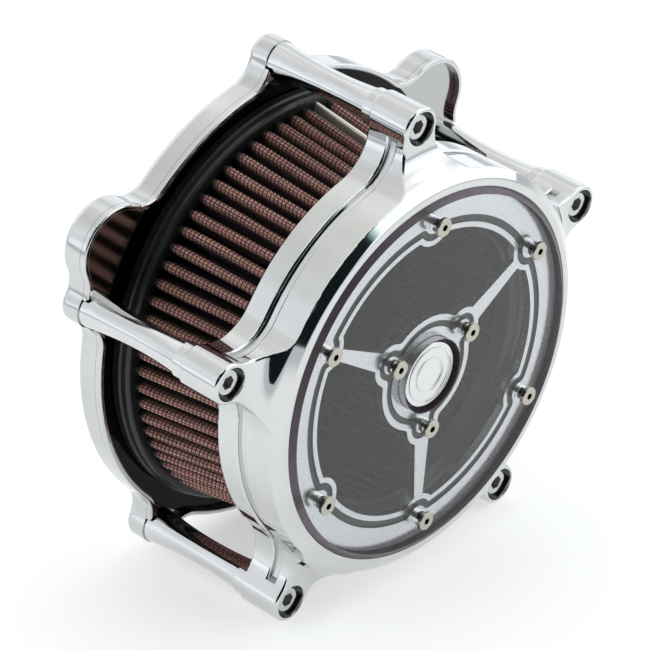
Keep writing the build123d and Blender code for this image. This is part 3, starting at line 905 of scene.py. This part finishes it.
# The dark part of the studio, in degrees: the azimuth of its middle, how far its sides are from there, and
# the rises of its top and bottom. A pair is where an edge starts and where it ends.
DARK_AZIMUTH, DARK_SIDES, DARK_TOP, DARK_BOTTOM = -40, (48, 58), (54, 64), (-6, 0)
# Bright spots in the dark part, in degrees: azimuth, rise, inner radius and outer radius.
BRIGHT_SPOTS = ((-72, 38, 2.0, 3.2), (-25, 22, 1.8, 3.0), (-8, 44, 2.0, 3.4))


def build_floor():
    """Pale floor, tilted so that the object stands on it; it glows, most near the object, a painted pool of
    light that lifts the shadows, and it is a little darker far away, painted shade.
    """
    rear = Vector((0, REAR_FOOT_Y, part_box("backplate")[0].z))
    front = Vector((0, FRONT_FOOT_Y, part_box("cover_ring")[0].z))
    tilt = math.atan2(front.z - rear.z, rear.y - front.y)
    mesh = bpy.data.meshes.new("floor")
    bm = bmesh.new()
    bmesh.ops.create_grid(bm, x_segments=8, y_segments=8, size=4.0)
    bm.to_mesh(mesh)
    bm.free()
    floor = bpy.data.objects.new("floor", mesh)
    middle = Matrix.Translation(rear - Vector((0, 0, FLOOR_GAP)))
    floor.matrix_world = middle @ Matrix.Rotation(-tilt, 4, "X")
    scene.collection.objects.link(floor)
    material, g, shader, place = make_material("pale_floor")
    cloud = g.noise(place, 3.0)
    far = g.vector("LENGTH", place).outputs["Value"]
    # painted light: the floor glows, most near the object, and both its glow and its colour fall off far away
    glow_falloff = g.span(far, 0.35, 1.4)
    near_tone = g.mix(cloud, (0.60, 0.61, 0.62), (0.64, 0.65, 0.66))
    g.fill(shader, {
        "Roughness": 0.9,
        "Specular IOR Level": 0.1,
        "Emission Color": (1, 1, 1, 1),
        "Base Color": g.mix(glow_falloff, near_tone, (0.50, 0.52, 0.545)),
        "Emission Strength": g.span(glow_falloff, 0.0, 1.0, 0.52, 0.2),
    })
    mesh.materials.append(material)


def build_world():
    """Soft bright studio all round, with one dark part in front that the chrome reflects."""
    world = bpy.data.worlds.new("studio")
    scene.world = world
    world.use_nodes = True
    g = Graph(world.node_tree)
    way = g.add("ShaderNodeTexCoord").outputs["Generated"]
    unit = g.vector("NORMALIZE", way).outputs[0]
    parts = g.add("ShaderNodeSeparateXYZ", {"Vector": unit}).outputs
    azimuth = g.math("ARCTAN2", parts[0], g.times(parts[1], -1.0))
    rise = g.math("ARCSINE", parts[2])

    def angles(degrees):
        return tuple(math.radians(angle) for angle in degrees)

    def spot(azimuth_deg, rise_deg, inner, outer):
        a, e = angles((azimuth_deg, rise_deg))
        toward = (math.sin(a) * math.cos(e), -math.cos(a) * math.cos(e), math.sin(e))
        dot = g.vector("DOT_PRODUCT", unit, toward).outputs["Value"]
        return g.span(dot, math.cos(math.radians(outer)), math.cos(math.radians(inner)))

    away = g.math("ABSOLUTE", g.plus(azimuth, math.radians(-DARK_AZIMUTH)))
    side = g.fall(away, *angles(DARK_SIDES))
    high = g.fall(rise, *angles(DARK_TOP))
    low = g.span(rise, *angles(DARK_BOTTOM))
    dark = g.times(g.times(side, high), low)
    for bright_spot in BRIGHT_SPOTS:
        dark = g.times(dark, g.minus(1.0, spot(*bright_spot)))
    tone = g.spread(g.noise(unit, 1.4), 0.66, 1.10)
    overhead = g.span(rise, *angles((15, 60)))
    tint = g.mix(overhead, (0.95, 0.98, 1.02), (1.0, 1.01, 0.965))
    back = g.span(parts[1], 0.1, 0.8, 1.0, 0.78)
    lit = g.vector("SCALE", tint)
    g.set(lit.inputs["Scale"], g.times(tone, back))
    shade = g.ramp(dark, (
        (0.0, (1, 1, 1)), (0.45, (0.30, 0.46, 0.43)),
        (0.8, (0.02, 0.035, 0.034)), (1.0, (0.008, 0.011, 0.012)),
    ))
    mixed = g.add("ShaderNodeMix", data_type="RGBA", blend_type="MULTIPLY")
    g.fill(mixed, {"Factor": 1.0, 6: lit.outputs[0], 7: shade})
    g.fill(g.nodes["Background"], {"Color": mixed.outputs[2], "Strength": 1.55})


build_floor()
build_world()
